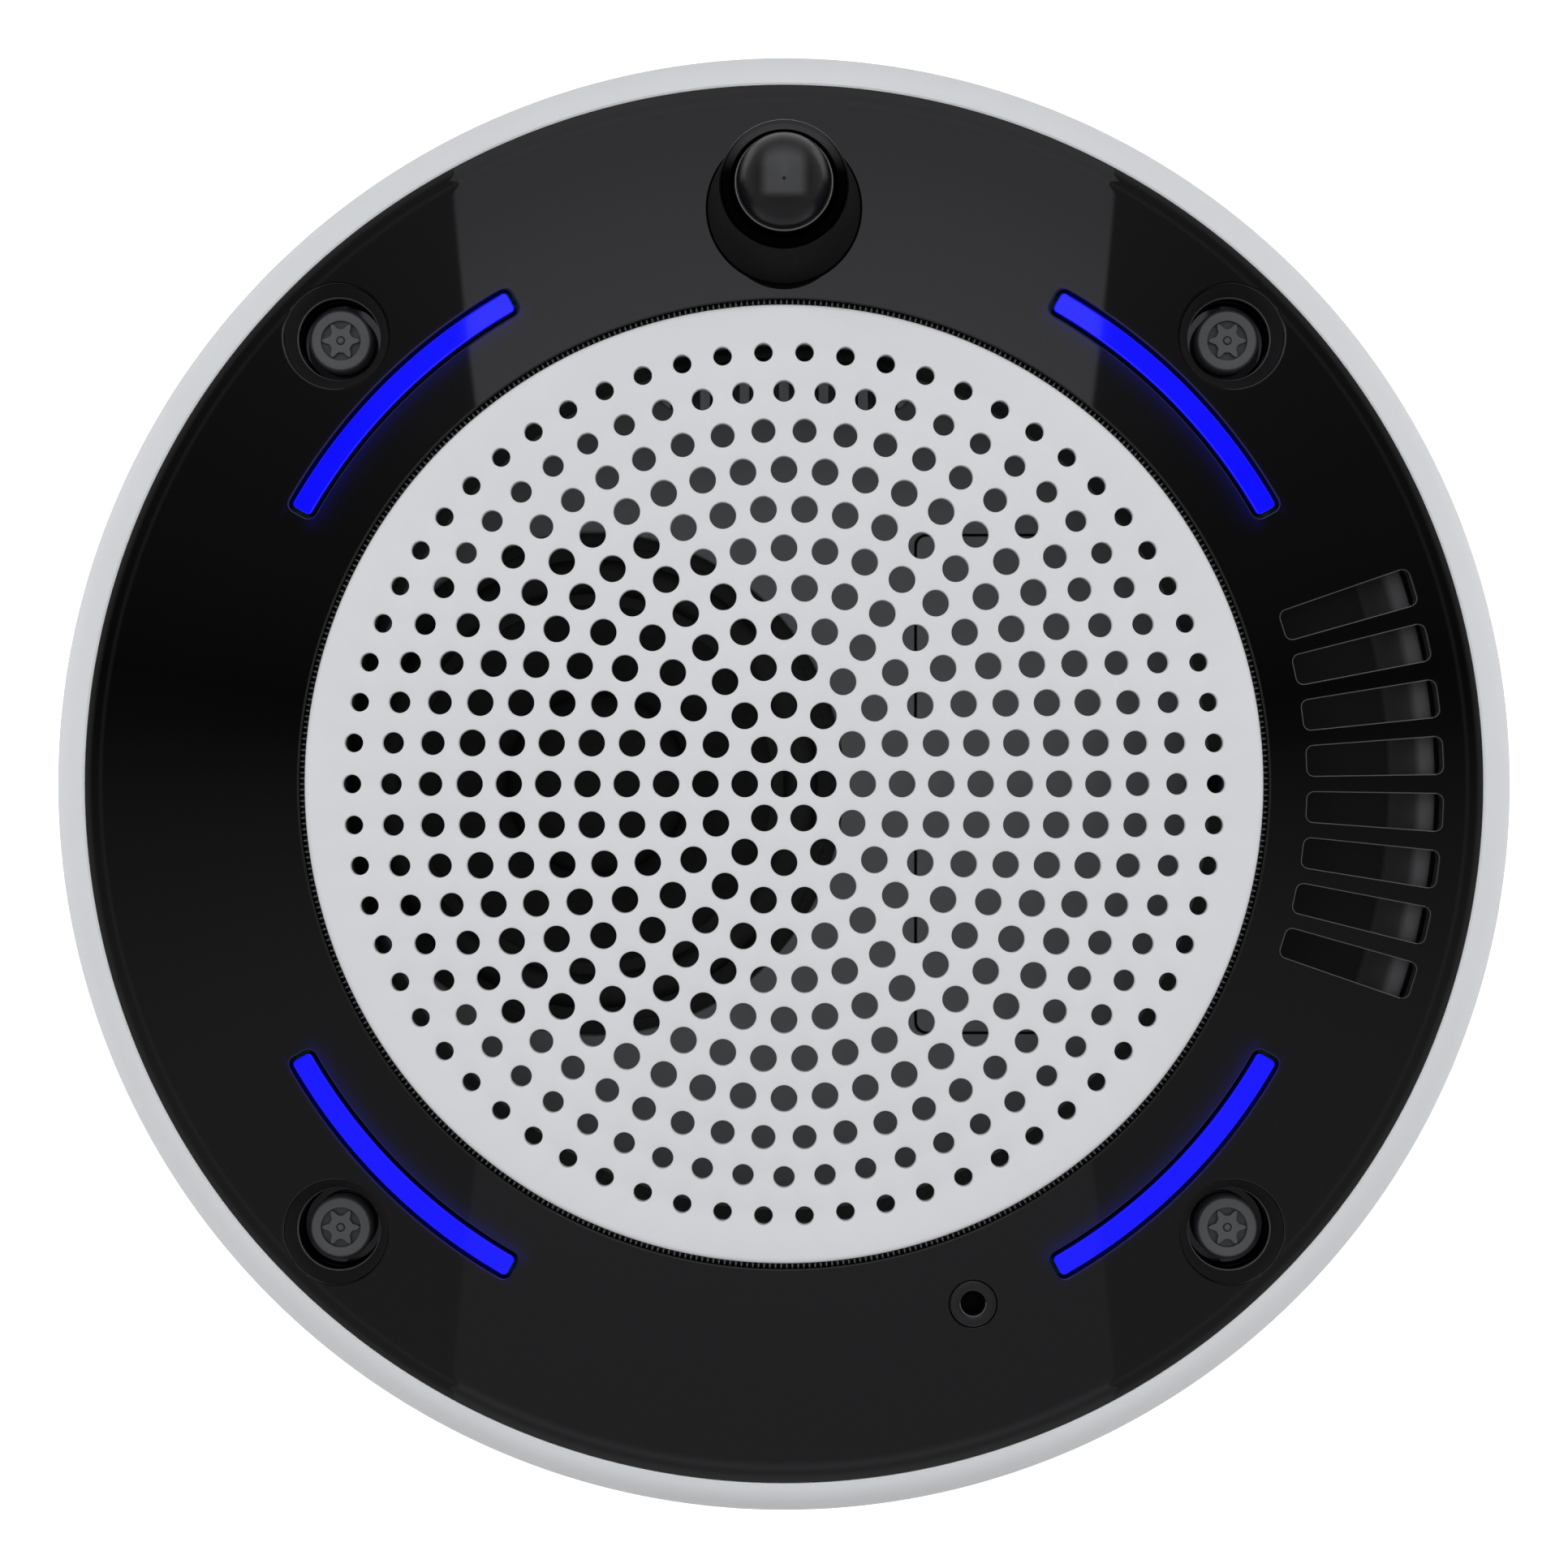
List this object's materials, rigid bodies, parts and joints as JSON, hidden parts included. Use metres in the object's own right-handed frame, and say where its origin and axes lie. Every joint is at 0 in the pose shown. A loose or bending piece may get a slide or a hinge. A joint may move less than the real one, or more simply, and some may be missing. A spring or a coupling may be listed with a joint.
{
  "type": "smart speaker",
  "caption": "Round surface-mount speaker and sensor unit with a perforated grille, light bars, sensor dome, air slots and a rear network socket.",
  "frame": {"origin": "centre of the flat mounting face at the back", "axes": "+Z out through the speaker grille, +Y towards the sensor dome, +X towards the air slots"},
  "size_m": [0.18, 0.18, 0.069],
  "materials": {
    "white_plastic": "satin moulded white",
    "white_paint": "satin white powder coat",
    "gloss_black": "polished smoked black",
    "satin_black": "satin black",
    "blue_light": "lit blue diffuser",
    "dark_grey": "fine matte dark grey",
    "zinc_steel": "zinc plated",
    "black_screw": "black oxide",
    "aluminium": "extruded",
    "ferrite": "dark sintered",
    "copper": "enamelled copper",
    "black_rubber": "matte black",
    "cone_paper": "pressed black paper",
    "amber_cloth": "resin treated cloth",
    "board_green": "solder mask"
  },
  "bodies": {
    "enclosure": {"air_sensor_case": "satin_black", "amplifier_board": "board_green", "board_capacitor": "satin_black", "board_screw_1": "zinc_steel", "board_screw_2": "zinc_steel", "board_screw_3": "zinc_steel", "board_screw_4": "zinc_steel", "chassis_plate": "dark_grey", "driver_frame": "zinc_steel", "driver_gasket": "black_rubber", "driver_magnet": "ferrite", "driver_screw_1": "zinc_steel", "driver_screw_2": "zinc_steel", "driver_screw_3": "zinc_steel", "driver_screw_4": "zinc_steel", "driver_spider": "amber_cloth", "driver_surround": "black_rubber", "driver_top_plate": "zinc_steel", "driver_yoke": "zinc_steel", "fascia_gasket": "black_rubber", "fascia_screw_lower_left": "black_screw", "fascia_screw_lower_right": "black_screw", "fascia_screw_upper_left": "black_screw", "fascia_screw_upper_right": "black_screw", "front_fascia": "gloss_black", "grille_retainer": "satin_black", "heat_sink": "aluminium", "led_strip_lower_left": "board_green", "led_strip_lower_right": "board_green", "led_strip_upper_left": "board_green", "led_strip_upper_right": "board_green", "light_bar_lower_left": "blue_light", "light_bar_lower_right": "blue_light", "light_bar_upper_left": "blue_light", "light_bar_upper_right": "blue_light", "main_board": "board_green", "microphone_board": "board_green", "microphone_port": "satin_black", "motion_sensor": "zinc_steel", "mounting_plate": "zinc_steel", "network_socket": "zinc_steel", "power_transformer": "ferrite", "rear_housing": "white_plastic", "reset_switch": "satin_black", "sensor_board": "board_green", "sensor_boss": "gloss_black", "sensor_chamber_lid": "dark_grey", "sensor_dome": "gloss_black", "shield_can": "zinc_steel", "speaker_grille": "white_paint", "terminal_block": "satin_black", "vent_baffle": "satin_black"},
    "driver_cone_body": {"driver_cone": "cone_paper", "driver_dust_cap": "cone_paper", "driver_voice_coil": "copper"},
    "fan": {"air_sensor_fan": "satin_black"},
    "reset_button": {"reset_button": "satin_black"}
  },
  "joints": [
    {"name": "cone_travel", "type": "slide", "parent": "enclosure", "child": "driver_cone_body", "axis": [0, 0, 1], "range_m": [-0.001, 0.001], "stiffness_N_per_m": 1500, "deforming": ["driver_surround", "driver_spider"]},
    {"name": "fan_spin", "type": "hinge", "parent": "enclosure", "child": "fan", "pos_m": [0.042, 0, 0.029], "axis": [0, 0, 1], "continuous": true},
    {"name": "reset_press", "type": "slide", "parent": "enclosure", "child": "reset_button", "axis": [0, 0, 1], "range_m": [0, 0.0006], "stiffness_N_per_m": 1500}
  ]
}
